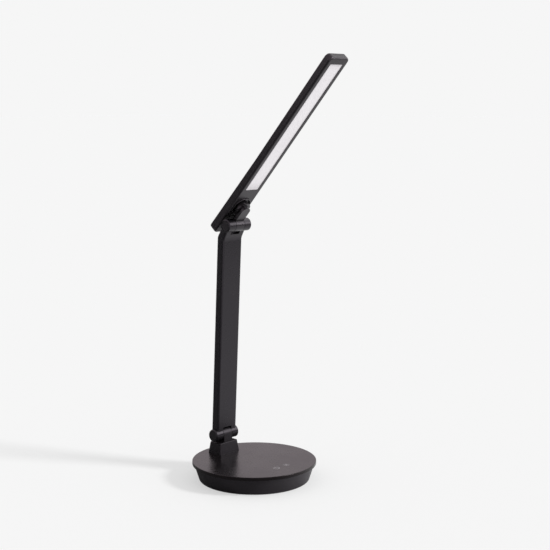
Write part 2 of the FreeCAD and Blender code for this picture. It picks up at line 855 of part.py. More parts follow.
def arm_shell():
    """Hollow arm with the outer knuckles of both hinges, open at the back for its cover."""
    body = arm_bar()
    half = arm_thickness / 2
    hinges = ((0, 0), (-neck_offset, arm_length))
    for y, z in hinges:
        for knuckle in arm_knuckles(y, z):
            body = body.fuse(knuckle)
    slot = -arm_knuckle_start, arm_knuckle_start
    reach = neck_offset + barrel_radius + cut_overrun
    body = body.cut(block(slot, (-reach, reach), (-barrel_radius, barrel_radius + lower_notch_gap)))
    upper_y, upper_z = hinges[1]
    over = upper_z + barrel_radius + cut_overrun
    body = body.cut(cross_bar(barrel_radius + knuckle_gap, slot, upper_y, upper_z))
    body = body.cut(block(slot, (-reach, upper_y + upper_notch_depth), (upper_z - upper_notch_drop, over)))
    body = body.cut(block(slot, (-reach, reach), (upper_z - upper_notch_shoulder, over)))
    low, high = arm_cover_range()
    seat_half = arm_cover_half() + seat_clearance
    seat_range = low - seat_clearance, high + seat_clearance
    seat_depth = half - arm_cover_thickness, half + cut_overrun
    body = body.cut(flat_plate(seat_half, seat_range, arm_cover_corner, seat_depth))
    cavity_half = arm_cover_half() - arm_cavity_ledge
    cavity_range = low + arm_cavity_end_ledge, high - arm_cavity_end_ledge
    body = body.cut(flat_plate(cavity_half, cavity_range, arm_cover_corner, (-half + arm_front_wall, half)))
    body = body.cut(lead_along(arm_lead_points(), lead_channel_radius))
    for x, z in arm_screw_places():
        seat = V(x, half - arm_screw_head_height, z)
        body = body.cut(screw_hole(seat, -Y_AXIS, arm_screw_length + seat_clearance, arm_screw_radius))
    for y, z in hinges:
        for hole in knuckle_holes(y, z):
            body = body.cut(hole)
    return body.removeSplitter()


def arm_back_cover():
    """Flat cover that closes the arm's back, with sunk holes for its screws."""
    half = arm_thickness / 2
    y_range = half - arm_cover_thickness, half
    body = flat_plate(arm_cover_half(), arm_cover_range(), arm_cover_corner, y_range)
    seat = half - arm_screw_head_height
    for x, z in arm_screw_places():
        body = body.cut(through_flat(arm_screw_radius + seat_clearance, x, z, y_range))
        body = body.cut(through_flat(arm_screw_head_radius + seat_clearance, x, z, (seat, half)))
    return body


def arm_cover_screws():
    """Small screws, sunk flush, that hold the arm's back cover."""
    sizes = arm_screw_radius, arm_screw_head_radius, arm_screw_head_height
    seat = arm_thickness / 2 - arm_screw_head_height
    screws = []
    for x, z in arm_screw_places():
        place = V(x, seat, z)
        recess = cross_recess(place, -Y_AXIS, arm_screw_head_radius, arm_screw_head_height)
        screws.append(screw(place, -Y_AXIS, arm_screw_length, *sizes).cut(recess))
    return Part.makeCompound(screws)


def bracket_lead_points():
    """Path of the lead from the upper knuckle along the tongue and up through the spigot."""
    return [
        V(0, knuckle_lead_offset, -knuckle_lead_offset),
        V(0, knuckle_lead_offset, swivel_reach),
        V(0, retainer_top, swivel_reach),
    ]


def swivel_screw_places():
    """X of the two screws that hold the swivel's retainer."""
    return [side * swivel_screw_spacing / 2 for side in (-1, 1)]


def head_bracket():
    """Middle knuckle of the upper hinge, tongue with a rib over the lead, hub and the head's spigot."""
    x_range = -knuckle_half, knuckle_half
    y_range = -tongue_low, tongue_top
    body = cross_bar(barrel_radius, x_range, 0, 0)
    body = body.fuse(block(x_range, y_range, (0, swivel_reach)))
    body = body.fuse(through_flat(knuckle_half, 0, swivel_reach, y_range))
    body = body.fuse(block((-rib_half, rib_half), (tongue_top, rib_top), (0, swivel_reach)))
    body = body.fuse(through_flat(hub_radius, 0, swivel_reach, (tongue_top, hub_top)))
    body = body.fuse(through_flat(spigot_radius, 0, swivel_reach, (hub_top, retainer_low)))
    body = body.cut(cross_bar(bolt_radius + running_clearance, x_range, 0, 0))
    body = body.cut(lead_along(bracket_lead_points(), lead_channel_radius))
    for x in swivel_screw_places():
        seat = V(x, retainer_top, swivel_reach)
        depth = swivel_screw_length + seat_clearance
        body = body.cut(screw_hole(seat, -Y_AXIS, depth, swivel_screw_radius))
    return body.removeSplitter()


def swivel_washer():
    """Friction washer round the spigot, between the head's frame and the retainer."""
    y_range = washer_low, retainer_low
    disc = through_flat(retainer_radius, 0, swivel_reach, y_range)
    return disc.cut(through_flat(spigot_radius + running_clearance, 0, swivel_reach, y_range))


def swivel_retainer():
    """Round plate screwed on the spigot inside the head, which keeps the head on."""
    y_range = retainer_low, retainer_top
    body = through_flat(retainer_radius, 0, swivel_reach, y_range)
    body = body.cut(through_flat(lead_channel_radius, 0, swivel_reach, y_range))
    for x in swivel_screw_places():
        body = body.cut(through_flat(swivel_screw_radius + seat_clearance, x, swivel_reach, y_range))
    return body


def swivel_screws():
    """Screws that hold the retainer to the spigot."""
    sizes = swivel_screw_radius, swivel_screw_head_radius, swivel_screw_head_height
    seats = [V(x, retainer_top, swivel_reach) for x in swivel_screw_places()]
    return Part.makeCompound([screw(seat, -Y_AXIS, swivel_screw_length, *sizes) for seat in seats])


def swivel_collar():
    """Raised ring on the head's underside round the hub."""
    y_range = collar_low, head_offset
    body = through_flat(collar_radius, 0, swivel_reach, y_range)
    low_edge = edges_on_plane(body, Y_AXIS, collar_low)
    body = body.makeFillet(collar_edge_radius, low_edge)
    return body.cut(through_flat(collar_inner, 0, swivel_reach, y_range))


def head_outline(inset, y_range):
    """Plate with the head's outline, drawn in by inset all round."""
    z_range = -head_root + inset, head_tip - inset
    return flat_plate(head_width / 2 - inset, z_range, head_corner - inset, y_range)


def window_plate(growth, y_range):
    """Plate with the light window's outline, let out by growth all round."""
    z_range = window_start - growth, window_end + growth
    return flat_plate(window_half + growth, z_range, window_corner, y_range)


def head_frame():
    """Lower half of the head: underside with the light window, swivel recess and hole, and a low rim."""
    body = head_outline(0, (head_offset, seam_level))
    low_edges = edges_on_plane(body, Y_AXIS, head_offset)
    body = body.makeFillet(head_under_edge_radius, low_edges)
    body = body.cut(head_outline(head_wall, (frame_top, seam_level)))
    body = body.cut(window_plate(0, (head_offset, frame_top)))
    body = body.cut(through_flat(collar_inner, 0, swivel_reach, (head_offset, recess_level)))
    hole = through_flat(spigot_radius + running_clearance, 0, swivel_reach, (head_offset, frame_top))
    return body.cut(hole).removeSplitter()


def shell_block():
    """Solid with the head's outline, from the seam to a top that rises gently over the root end."""
    half = head_width / 2
    top_path = [
        V(-half, head_top, head_tip),
        V(-half, head_top, root_rise_length - head_root),
        V(-half, head_top + root_rise, -head_root),
    ]
    root_low = V(-half, seam_level, -head_root)
    tip_low = V(-half, seam_level, head_tip)
    edges = rounded_path(top_path, root_rise_bend)
    for start, end in ((top_path[2], root_low), (root_low, tip_low), (tip_low, top_path[0])):
        edges.append(Part.LineSegment(start, end).toShape())
    side_view = Part.Face(Part.Wire(edges)).extrude(V(head_width, 0, 0))
    return side_view.common(head_outline(0, (seam_level, head_top + root_rise)))


def shell_top_edges(body):
    """Edges round the top of the head, without the lines across it where its slope begins."""
    found = []
    for edge in body.Edges:
        middle = edge.CenterOfMass
        beside = abs(middle.x) > plane_tolerance
        at_end = min(abs(middle.z + head_root), abs(middle.z - head_tip)) < plane_tolerance
        if edge.BoundBox.YMin > head_top - plane_tolerance and (beside or at_end):
            found.append(edge)
    return found


def head_shell():
    """Upper half of the head: top plate and sides, with a lip that drops into the frame's rim."""
    body = shell_block()
    body = body.makeFillet(head_top_edge_radius, shell_top_edges(body))
    lip_inset = head_wall + seat_clearance
    lip_low = seam_level - head_lip_height
    body = body.fuse(head_outline(lip_inset, (lip_low, shell_inner)))
    return body.cut(head_outline(lip_inset + head_lip_wall, (lip_low, shell_inner))).removeSplitter()


def diffuser():
    """Opal light panel that fills the window, with a flange behind the frame."""
    panel = window_plate(-seat_clearance, (head_offset + diffuser_set_back, frame_top))
    flange = window_plate(diffuser_flange, (frame_top, frame_top + diffuser_flange_thickness))
    return panel.fuse(flange).removeSplitter()


def led_board():
    """Long narrow board of the lights, glued under the head's top plate."""
    half = led_board_width / 2
    y_range = shell_inner - led_board_thickness, shell_inner
    return block((-half, half), y_range, (window_start, window_end))


def leds():
    """Two rows of small light chips on the underside of their board."""
    chips = []
    top = shell_inner - led_board_thickness
    step = (window_end - window_start) / leds_per_row
    for row in range(led_rows):
        x = (row - (led_rows - 1) / 2) * led_row_spacing
        for index in range(leds_per_row):
            z = window_start + index * step + step / 2
            x_range = x - led_width / 2, x + led_width / 2
            z_range = z - led_length / 2, z + led_length / 2
            chips.append(block(x_range, (top - led_height, top), z_range))
    return Part.makeCompound(chips)


def head_lead():
    """Lead from above the spigot to the end of the light board, along the head's top plate."""
    lie = shell_inner - lead_radius - lead_gap
    return cylinder(lead_radius, V(0, lie, swivel_reach), V(0, lie, window_start - lead_gap))


def save(name, shape):
    """Writes one named piece, or one group of like pieces."""
    solids = shape.Solids
    piece = solids[0] if len(solids) == 1 else Part.makeCompound(solids)
    piece.exportStep(os.path.join("parts", name + ".step"))
    print(name, len(solids), round(piece.Volume, 1), piece.isValid())


os.makedirs("parts", exist_ok=True)

# Base
for make in (base_cover, base_tray, base_screws, foot_pad, ballast_plate, ballast_screws, control_board,
             control_board_screws, touch_pads, inlet_shell, inlet_tongue, inlet_board, inlet_screws,
             supply_lead, base_lead, pedestal, pedestal_screws):
    save(make.__name__, make())

# Arm
for make in (arm_shell, arm_back_cover, arm_cover_screws):
    save(make.__name__, on_arm(make()))
save("arm_lead", on_arm(lead_along(arm_lead_points(), lead_radius)))
for name, y, z in (("lower", 0, 0), ("upper", -neck_offset, arm_length)):
    for make in (hinge_bolt, hinge_nut, hinge_washers, hinge_caps):
        save(name + "_" + make.__name__, on_arm(make(y, z)))

# Bracket and head
for make in (head_bracket, swivel_washer, swivel_retainer, swivel_screws, swivel_collar, head_frame,
             head_shell, diffuser, led_board, leds, head_lead):
    save(make.__name__, on_head(make()))
save("bracket_lead", on_head(lead_along(bracket_lead_points(), lead_radius)))
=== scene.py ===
import bmesh
import bpy
import math
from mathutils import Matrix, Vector


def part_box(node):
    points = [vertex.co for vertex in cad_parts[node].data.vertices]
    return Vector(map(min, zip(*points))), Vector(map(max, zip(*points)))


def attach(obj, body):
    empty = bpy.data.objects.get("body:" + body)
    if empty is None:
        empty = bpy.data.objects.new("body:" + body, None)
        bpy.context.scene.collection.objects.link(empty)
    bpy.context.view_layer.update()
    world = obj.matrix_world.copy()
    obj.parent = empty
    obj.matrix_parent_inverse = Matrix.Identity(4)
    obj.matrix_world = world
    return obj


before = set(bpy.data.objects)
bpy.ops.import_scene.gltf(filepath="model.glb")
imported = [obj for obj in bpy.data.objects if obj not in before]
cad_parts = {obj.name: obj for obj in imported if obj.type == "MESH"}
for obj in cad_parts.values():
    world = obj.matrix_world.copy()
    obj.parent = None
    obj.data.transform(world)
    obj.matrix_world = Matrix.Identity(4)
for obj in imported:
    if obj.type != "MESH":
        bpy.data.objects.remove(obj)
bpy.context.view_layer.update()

# Base tray: the sloped lower half of the round base, under the overhanging rim of the cover.
# Injection-moulded ABS in black, with a fine spark-eroded grain from the mould.
# It carries the weight and the boards, and four screws from below draw it up to the cover.

MM = 0.001


def linear(hex_colour):
    """sRGB hex colour as the linear RGBA that the shaders take."""
    channels = [int(hex_colour[i:i + 2], 16) / 255 for i in (1, 3, 5)]
    return [c / 12.92 if c <= 0.04045 else ((c + 0.055) / 1.055) ** 2.4 for c in channels] + [1.0]


def per_mm(size):
    """Texture scale for a pattern of the given size in millimetres."""
    return 1 / (size * MM)


def add_node(tree, kind, settings=None, values=None, links=None):
    """Adds one shader node with its settings, its fixed socket values and its incoming links."""
    node = tree.nodes.new(kind)
    for name, value in (settings or {}).items():
        setattr(node, name, value)
    for socket, value in (values or {}).items():
        node.inputs[socket].default_value = value
    for socket, source in (links or {}).items():
        tree.links.new(source, node.inputs[socket])
    return node


def blank_material(name):
    """New material with only its output node, its tree, and the place on the piece in metres."""
    material = bpy.data.materials.new(name)
    material.use_nodes = True
    tree = material.node_tree
    tree.nodes.clear()
    add_node(tree, "ShaderNodeOutputMaterial")
    return material, tree, add_node(tree, "ShaderNodeTexCoord").outputs["Object"]


def finish_material(material, values, links):
    """Adds the surface shader with its fixed values and links, and joins it to the output."""
    tree = material.node_tree
    shader = add_node(tree, "ShaderNodeBsdfPrincipled", values=values, links=links)
    tree.links.new(shader.outputs["BSDF"], tree.nodes["Material Output"].inputs["Surface"])
    return material


def dress(material, *nodes):
    """Gives CAD nodes a finished material as their only one."""
    for name in nodes:
        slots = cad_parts[name].data.materials
        slots.clear()
        slots.append(material)


flow_patch = 38.0
flow_span = 0.3, 0.7
flow_tones = 0.92, 1.08
flow_sheen = 0.03
wear_and_highlight_edge = 0.5
wear_and_highlight_likeness = 0.99, 0.8
wear_and_highlight_share = 0.5


def moulded_plastic(name, hex_colour, wear_and_highlight_hex, roughness, grain=0.6, relief=0.02, ior=1.5,
                    tint_hex="#fcf2ff"):
    """Dark moulded plastic with a spark-eroded grain.

    The eye gets a soft satin sheen without sharp reflections, a sandy grain close up, faint cloudy
    patches where the plastic flowed, and every edge a little paler: partly rubbed wear, partly a
    painted edge highlight.
    The real grain is about 0.1 mm across and is drawn coarser, so that it shows.
    """
    material, tree, place = blank_material(name)
    cloud = add_node(tree, "ShaderNodeTexNoise", values={"Scale": per_mm(flow_patch), "Detail": 3.0},
                     links={"Vector": place})
    tone = add_node(tree, "ShaderNodeValToRGB", links={"Fac": cloud.outputs["Fac"]})
    base = linear(hex_colour)
    for element, position, share in zip(tone.color_ramp.elements, flow_span, flow_tones):
        element.position = position
        element.color = [c * share for c in base[:3]] + [1.0]
    # Paler on every edge: partly rubbed wear, partly a painted edge highlight.
    facing = add_node(tree, "ShaderNodeNewGeometry")
    eased = add_node(tree, "ShaderNodeBevel", settings={"samples": 4}, values={"Radius": wear_and_highlight_edge * MM})
    likeness = add_node(tree, "ShaderNodeVectorMath", settings={"operation": "DOT_PRODUCT"},
                        links={0: eased.outputs["Normal"], 1: facing.outputs["Normal"]})
    wear_and_highlight = add_node(tree, "ShaderNodeMapRange", links={"Value": likeness.outputs["Value"]},
                   values={"From Min": wear_and_highlight_likeness[0], "From Max": wear_and_highlight_likeness[1], "To Min": 0.0,
                           "To Max": wear_and_highlight_share})
    colour = add_node(tree, "ShaderNodeMix", settings={"data_type": "RGBA"},
                      values={"B": linear(wear_and_highlight_hex)},
                      links={"Factor": wear_and_highlight.outputs["Result"], "A": tone.outputs["Color"]})
    sheen = add_node(tree, "ShaderNodeMapRange", links={"Value": cloud.outputs["Fac"]},
                     values={"From Min": flow_span[0], "From Max": flow_span[1],
                             "To Min": roughness - flow_sheen, "To Max": roughness + flow_sheen})
    sand = add_node(tree, "ShaderNodeTexNoise", links={"Vector": place},
                    values={"Scale": per_mm(grain), "Detail": 2.0, "Roughness": 0.6})
    bump = add_node(tree, "ShaderNodeBump", values={"Strength": 0.35, "Distance": relief * MM},
                    links={"Height": sand.outputs["Fac"]})
    return finish_material(material, {"IOR": ior, "Specular Tint": linear(tint_hex)},
                           {"Base Color": colour.outputs["Result"], "Roughness": sheen.outputs["Result"],
                            "Normal": bump.outputs["Normal"]})


dress(moulded_plastic("tray_moulded_abs", "#0b0a0b", "#1c1b1c", roughness=0.5, ior=1.66), "base_tray")

# Foot pad: soft round sheet under the whole tray, which keeps the lamp from sliding.
# Die-cut black EVA foam with its own adhesive back, pressed into the tray's shallow recess.
# The screws of the base are hidden under it.

cell_tones = 0.75, 1.2


def foam(name, hex_colour, cell, relief):
    """Closed-cell foam: dull all over, with a skin of small dimples where cells were cut through."""
    material, tree, place = blank_material(name)
    cells = add_node(tree, "ShaderNodeTexVoronoi", values={"Scale": per_mm(cell)}, links={"Vector": place})
    tone = add_node(tree, "ShaderNodeValToRGB", links={"Fac": cells.outputs["Distance"]})
    base = linear(hex_colour)
    for element, share in zip(tone.color_ramp.elements, cell_tones):
        element.color = [c * share for c in base[:3]] + [1.0]
    bump = add_node(tree, "ShaderNodeBump", values={"Strength": 0.6, "Distance": relief * MM},
                    links={"Height": cells.outputs["Distance"]})
    return finish_material(material, {"Roughness": 0.9, "IOR": 1.45},
                           {"Base Color": tone.outputs["Color"], "Normal": bump.outputs["Normal"]})


dress(foam("foot_eva_foam", "#1f1e1f", cell=1.2, relief=0.1), "foot_pad")

# Ballast: thick steel disc on the tray's floor, which keeps the lamp upright with its head out.
# Cut from rolled plate, with mill scale left on; three wide-head screws hold it down.

patch_span = 0.35, 0.65
patch_tones = 0.85, 1.0
gloss_span = 0.3, 0.7
steel_relief = 0.02


def steel(name, hex_colour, roughness, mark, spread):
    """Bare or plated steel: bright metal whose gloss changes in small patches from rolling or plating."""
    material, tree, place = blank_material(name)
    patch = add_node(tree, "ShaderNodeTexNoise", values={"Scale": per_mm(mark), "Detail": 5.0},
                     links={"Vector": place})
    tone = add_node(tree, "ShaderNodeValToRGB", links={"Fac": patch.outputs["Fac"]})
    base = linear(hex_colour)
    for element, position, share in zip(tone.color_ramp.elements, patch_span, patch_tones):
        element.position = position
        element.color = [c * share for c in base[:3]] + [1.0]
    gloss = add_node(tree, "ShaderNodeMapRange", links={"Value": patch.outputs["Fac"]},
                     values={"From Min": gloss_span[0], "From Max": gloss_span[1],
                             "To Min": roughness - spread, "To Max": roughness + spread})
    bump = add_node(tree, "ShaderNodeBump", values={"Strength": 0.2, "Distance": steel_relief * MM},
                    links={"Height": patch.outputs["Fac"]})
    return finish_material(material, {"Metallic": 1.0}, {"Base Color": tone.outputs["Color"],
                                                         "Roughness": gloss.outputs["Result"],
                                                         "Normal": bump.outputs["Normal"]})


zinc_plate = steel("screw_zinc_plated_steel", "#b9b8b4", roughness=0.34, mark=1.5, spread=0.08)
rolled_plate = steel("ballast_rolled_steel", "#6d6c6e", roughness=0.5, mark=9.0, spread=0.12)
dress(rolled_plate, "ballast_plate")
dress(zinc_plate, "ballast_screws", "base_screws")

# Supply inlet: the small low-voltage socket in the back of the tray.
# Nickel-plated shell round a black contact tongue, soldered on a small glass-epoxy board.
# Two screws hold the board on posts of the tray.

trace_start = 0.75
copper_relief = 0.03


def printed_board(name, hex_colour, trace_hex, pitch):
    """Circuit board: even solder mask with the faint raised tracks of the copper under it."""
    material, tree, place = blank_material(name)
    lines = add_node(tree, "ShaderNodeTexVoronoi", settings={"distance": "MANHATTAN", "feature": "F2"},
                     values={"Scale": per_mm(pitch), "Randomness": 0.4}, links={"Vector": place})
    mask = add_node(tree, "ShaderNodeValToRGB", links={"Fac": lines.outputs["Distance"]})
    mask.color_ramp.interpolation = "CONSTANT"
    colours = hex_colour, trace_hex
    for element, position, colour in zip(mask.color_ramp.elements, (0.0, trace_start), colours):
        element.position = position
        element.color = linear(colour)
    bump = add_node(tree, "ShaderNodeBump", values={"Strength": 0.5, "Distance": copper_relief * MM},
                    links={"Height": mask.outputs["Color"]})
    return finish_material(material, {"Roughness": 0.38, "IOR": 1.55},
                           {"Base Color": mask.outputs["Color"], "Normal": bump.outputs["Normal"]})


green_board = printed_board("board_green_solder_mask", "#1d5a36", "#2c7448", pitch=2.6)
nickel_plate = steel("inlet_nickel_plated_steel", "#c9c6bf", roughness=0.24, mark=1.0, spread=0.05)
contact_polymer = moulded_plastic("inlet_moulded_polymer", "#19181a", "#2a292b", roughness=0.4, grain=0.3,
                                  relief=0.01)
dress(nickel_plate, "inlet_shell")
dress(contact_polymer, "inlet_tongue")
dress(green_board, "inlet_board", "control_board")
dress(zinc_plate, "inlet_screws", "control_board_screws")

# Touch pads: springy discs between the touch board and the cover, one under each touch mark.
# Carbon-loaded foam, stuck on the board, which carries a finger's charge down to it.

dress(foam("touch_carbon_foam", "#29282a", cell=0.7, relief=0.06), "touch_pads")

# Leads: supply from the inlet to the board, and the lamp's lead on through both hinges to the lights.
# Stranded copper in a PVC sheath, held in channels of the moulded pieces.

die_wave = 4.0
die_relief = 0.05


def lead_sheath(name, hex_colour):
    """Extruded PVC: smooth and a little oily-looking, with slow uneven waves from the die."""
    material, tree, place = blank_material(name)
    waves = add_node(tree, "ShaderNodeTexNoise", values={"Scale": per_mm(die_wave), "Detail": 1.0},
                     links={"Vector": place})
    gloss = add_node(tree, "ShaderNodeMapRange", links={"Value": waves.outputs["Fac"]},
                     values={"To Min": 0.3, "To Max": 0.5})
    bump = add_node(tree, "ShaderNodeBump", values={"Strength": 0.25, "Distance": die_relief * MM},
                    links={"Height": waves.outputs["Fac"]})
    return finish_material(material, {"Base Color": linear(hex_colour), "IOR": 1.53},
                           {"Roughness": gloss.outputs["Result"], "Normal": bump.outputs["Normal"]})


dress(lead_sheath("lead_pvc_sheath", "#232224"), "supply_lead", "base_lead", "arm_lead", "bracket_lead",
      "head_lead")

# Base cover: the flat round top of the base with its thin overhanging rim.
# Moulded ABS like the tray, with a finer and glossier grain, so it mirrors the arm in a soft blur.
# Its skirt drops inside the tray's wall and its bosses take the screws.

cover_abs = moulded_plastic("cover_moulded_abs", "#0b090a", "#201e1f", roughness=0.27, grain=0.5,
                            relief=0.012, ior=1.36, tint_hex="#fff0f6")
dress(cover_abs, "base_cover")

# Touch marks: a power sign and a sun sign on the cover, over the two touch pads.
# Pad-printed in pale grey ink, so thin that a finger hardly feels it, matt and very finely speckled.

mark_pitch = 17.1
mark_front = 44.6
power_radius = 4.0
power_line = 1.0
power_opening = 70.0
power_bar = 0.6, 4.6
sun_radius = 1.8
sun_ray = 2.7, 4.4
sun_ray_width = 0.9
sun_rays = 8
arc_steps = 40
disc_steps = 24
ink_thickness = 0.04
ink_speck = 0.4
cover_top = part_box("base_cover")[1][2] / MM


def arc_points(radius, first, last, count):
    """Points on an arc round the sign's middle, angles in degrees."""
    angles = [math.radians(first + (last - first) * i / (count - 1)) for i in range(count)]
    return [(radius * math.cos(a), radius * math.sin(a)) for a in angles]


def ray(direction, start, end, width):
    """Short bar that points away from the sign's middle."""
    along = math.cos(math.radians(direction)), math.sin(math.radians(direction))
    corners = (start, -width / 2), (end, -width / 2), (end, width / 2), (start, width / 2)
    return [(u * along[0] - v * along[1], u * along[1] + v * along[0]) for u, v in corners]


def printed_sign(name, outlines, x):
    """Thin flat print made of closed outlines, on the cover at the given distance from its middle."""
    mesh = bpy.data.meshes.new(name)
    drawing = bmesh.new()
    for outline in outlines:
        corners = [drawing.verts.new(Vector((x + u, v - mark_front, cover_top)) * MM) for u, v in outline]
        face = drawing.faces.new(corners)
        raised = bmesh.ops.extrude_face_region(drawing, geom=[face])["geom"]
        lifted = [item for item in raised if isinstance(item, bmesh.types.BMVert)]
        bmesh.ops.translate(drawing, verts=lifted, vec=Vector((0, 0, ink_thickness * MM)))
    bmesh.ops.recalc_face_normals(drawing, faces=drawing.faces)
    drawing.to_mesh(mesh)
    drawing.free()
    sign = bpy.data.objects.new(name, mesh)
    bpy.context.scene.collection.objects.link(sign)
    return sign


ink_material, ink_tree, ink_place = blank_material("mark_printed_ink")
ink_speckle = add_node(ink_tree, "ShaderNodeTexNoise", values={"Scale": per_mm(ink_speck), "Detail": 2.0},
                       links={"Vector": ink_place})
ink_tone = add_node(ink_tree, "ShaderNodeValToRGB", links={"Fac": ink_speckle.outputs["Fac"]})
for ink_element, ink_hex in zip(ink_tone.color_ramp.elements, ("#7d7a7d", "#a29fa2")):
    ink_element.color = linear(ink_hex)
finish_material(ink_material, {"Roughness": 0.55, "IOR": 1.5}, {"Base Color": ink_tone.outputs["Color"]})

arc_first = 90 + power_opening / 2
arc_last = 450 - power_opening / 2
power_arc = arc_points(power_radius, arc_first, arc_last, arc_steps)
power_arc += arc_points(power_radius - power_line, arc_last, arc_first, arc_steps)
power_sign = printed_sign("touch_mark_power", [power_arc, ray(90, *power_bar, power_line)], -mark_pitch / 2)
sun_disc = arc_points(sun_radius, 0, 360 - 360 / disc_steps, disc_steps)
sun_beams = [ray(360 / sun_rays * i, *sun_ray, sun_ray_width) for i in range(sun_rays)]
sun_sign = printed_sign("touch_mark_sun", [sun_disc, *sun_beams], mark_pitch / 2)
for sign in (power_sign, sun_sign):
    sign.data.materials.append(ink_material)
    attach(sign, "base")

# Pedestal: the tapered block at the back of the base, with the fixed knuckle of the lower hinge.
# Moulded ABS, hollow from below, held by two screws that come up through the cover.

dress(moulded_plastic("pedestal_moulded_abs", "#0b0a0c", "#1f1e20", roughness=0.44, ior=1.43), "pedestal")
dress(zinc_plate, "pedestal_screws")

# Hinge hardware: at each hinge a shoulder bolt, its nut and two friction washers hold the knuckles.
# Turned and zinc-plated steel; the washers are acetal, which keeps the drag even as they wear.

stamp_mark = 2.5
stamp_relief = 0.03
milky_depth = 0.5


def acetal(name, hex_colour):
    """Acetal sheet: milky and waxy, with faint uneven marks left by the die that stamped it."""
    material, tree, place = blank_material(name)
    cloud = add_node(tree, "ShaderNodeTexNoise", values={"Scale": per_mm(stamp_mark), "Detail": 3.0},
                     links={"Vector": place})
    gloss = add_node(tree, "ShaderNodeMapRange", links={"Value": cloud.outputs["Fac"]},
                     values={"To Min": 0.32, "To Max": 0.52})
    bump = add_node(tree, "ShaderNodeBump", values={"Strength": 0.2, "Distance": stamp_relief * MM},
                    links={"Height": cloud.outputs["Fac"]})
    return finish_material(material, {"Base Color": linear(hex_colour), "IOR": 1.48,
                                      "Subsurface Weight": 0.2, "Subsurface Scale": milky_depth * MM},
                           {"Roughness": gloss.outputs["Result"], "Normal": bump.outputs["Normal"]})


dress(zinc_plate, "lower_hinge_bolt", "lower_hinge_nut", "upper_hinge_bolt", "upper_hinge_nut")
dress(acetal("washer_natural_acetal", "#d8d4c8"), "lower_hinge_washers", "upper_hinge_washers",
      "swivel_washer")

# Hinge caps: round covers pressed into the ends of both hinge barrels over the bolts.
# Moulded ABS with a finer grain than the arm round them.

dress(moulded_plastic("cap_moulded_abs", "#0b0a0b", "#1d1c1d", roughness=0.44, grain=0.4), "lower_hinge_caps",
      "upper_hinge_caps")

# Arm: flat hollow bar with the outer knuckles of both hinges, bent forward at its neck.
# Moulded ABS; the flat back cover closes the channel of the lead and four small screws hold it.

black_oxide = steel("screw_black_oxide_steel", "#4a494b", roughness=0.4, mark=1.2, spread=0.08)
dress(moulded_plastic("arm_moulded_abs", "#0b0a0d", "#1f1e22", roughness=0.28, ior=1.47), "arm_shell")
dress(moulded_plastic("arm_cover_moulded_abs", "#0b0a0d", "#1f1e22", roughness=0.42), "arm_back_cover")
dress(black_oxide, "arm_cover_screws")

# Bracket: knuckle, round-ended tongue and hub in one piece between the arm and the head.
# Moulded glass-filled nylon, stiffer and a little shinier than the ABS; the head turns on its spigot.
# Inside the head a steel retainer with two screws keeps the head on.

bracket_nylon = moulded_plastic("bracket_moulded_nylon", "#0b0a0b", "#1f1e1f", roughness=0.27, grain=0.7,
                                ior=1.54)
stamped_plate = steel("retainer_stamped_steel", "#a9a8a6", roughness=0.36, mark=2.0, spread=0.08)
dress(bracket_nylon, "head_bracket")
dress(stamped_plate, "swivel_retainer")
dress(zinc_plate, "swivel_screws")

# Swivel collar: thin raised ring on the head's underside round the hub.
# Moulded ABS, pressed on the frame, with a polished rim that catches the light; its paler edge colour is a
# painted highlight.

# The pale edge colour #2b2a2b is a painted highlight on the rim.
collar_abs = moulded_plastic("collar_moulded_abs", "#0b0a0b", "#2b2a2b", roughness=0.26, grain=0.4,
                             relief=0.006, ior=1.6)
dress(collar_abs, "swivel_collar")

# Head: flat light bar made of an upper shell and a lower frame round the light window.
# Moulded ABS halves, the shell's lip snapped into the frame's rim all round.

dress(moulded_plastic("head_frame_moulded_abs", "#0c0a0b", "#201e1f", roughness=0.36, ior=1.54), "head_frame")
dress(moulded_plastic("head_shell_moulded_abs", "#0b0a0b", "#201f20", roughness=0.4), "head_shell")

# Lights: two rows of light chips on a long narrow board under the head's top plate.
# Aluminium-core board with white solder mask; the chips are cast in yellow phosphor resin, which is smooth
# with a fine grain of powder in it.

phosphor_speck = 0.3
dress(printed_board("led_board_white_solder_mask", "#e6e6e2", "#f0f0ec", pitch=5.0), "led_board")
phosphor, phosphor_tree, phosphor_place = blank_material("led_phosphor_resin")
phosphor_grain = add_node(phosphor_tree, "ShaderNodeTexNoise", links={"Vector": phosphor_place},
                          values={"Scale": per_mm(phosphor_speck), "Detail": 2.0})
phosphor_tone = add_node(phosphor_tree, "ShaderNodeValToRGB", links={"Fac": phosphor_grain.outputs["Fac"]})
for phosphor_element, phosphor_hex in zip(phosphor_tone.color_ramp.elements, ("#d9b53c", "#ecd06a")):
    phosphor_element.color = linear(phosphor_hex)
finish_material(phosphor, {"Roughness": 0.3, "IOR": 1.52}, {"Base Color": phosphor_tone.outputs["Color"]})
dress(phosphor, "leds")

# Diffuser: the long opal panel in the head's window, which spreads the chips' light.
# Extruded opal acrylic with a fine matt face, laid in from above, its flange behind the frame.
# Towards its edges it is painted a little greyer: painted shade where the frame shades the panel's edges.

opal_cloud = 25.0
opal_grain = 0.5
opal_relief = 0.01
flange_side_share, shade_fade_side_share = 0.06, 0.17
flange_end_share, shade_fade_end_share = 0.01, 0.06
opal, opal_tree, opal_place = blank_material("diffuser_opal_acrylic")
opal_haze = add_node(opal_tree, "ShaderNodeTexNoise", values={"Scale": per_mm(opal_cloud), "Detail": 2.0},
                     links={"Vector": opal_place})
opal_tone = add_node(opal_tree, "ShaderNodeValToRGB", links={"Fac": opal_haze.outputs["Fac"]})
for opal_element, opal_hex in zip(opal_tone.color_ramp.elements, ("#e7e3e7", "#efecef")):
    opal_element.color = linear(opal_hex)
opal_spread = add_node(opal_tree, "ShaderNodeTexCoord").outputs["Generated"]
opal_sides = add_node(opal_tree, "ShaderNodeSeparateXYZ", links={"Vector": opal_spread})


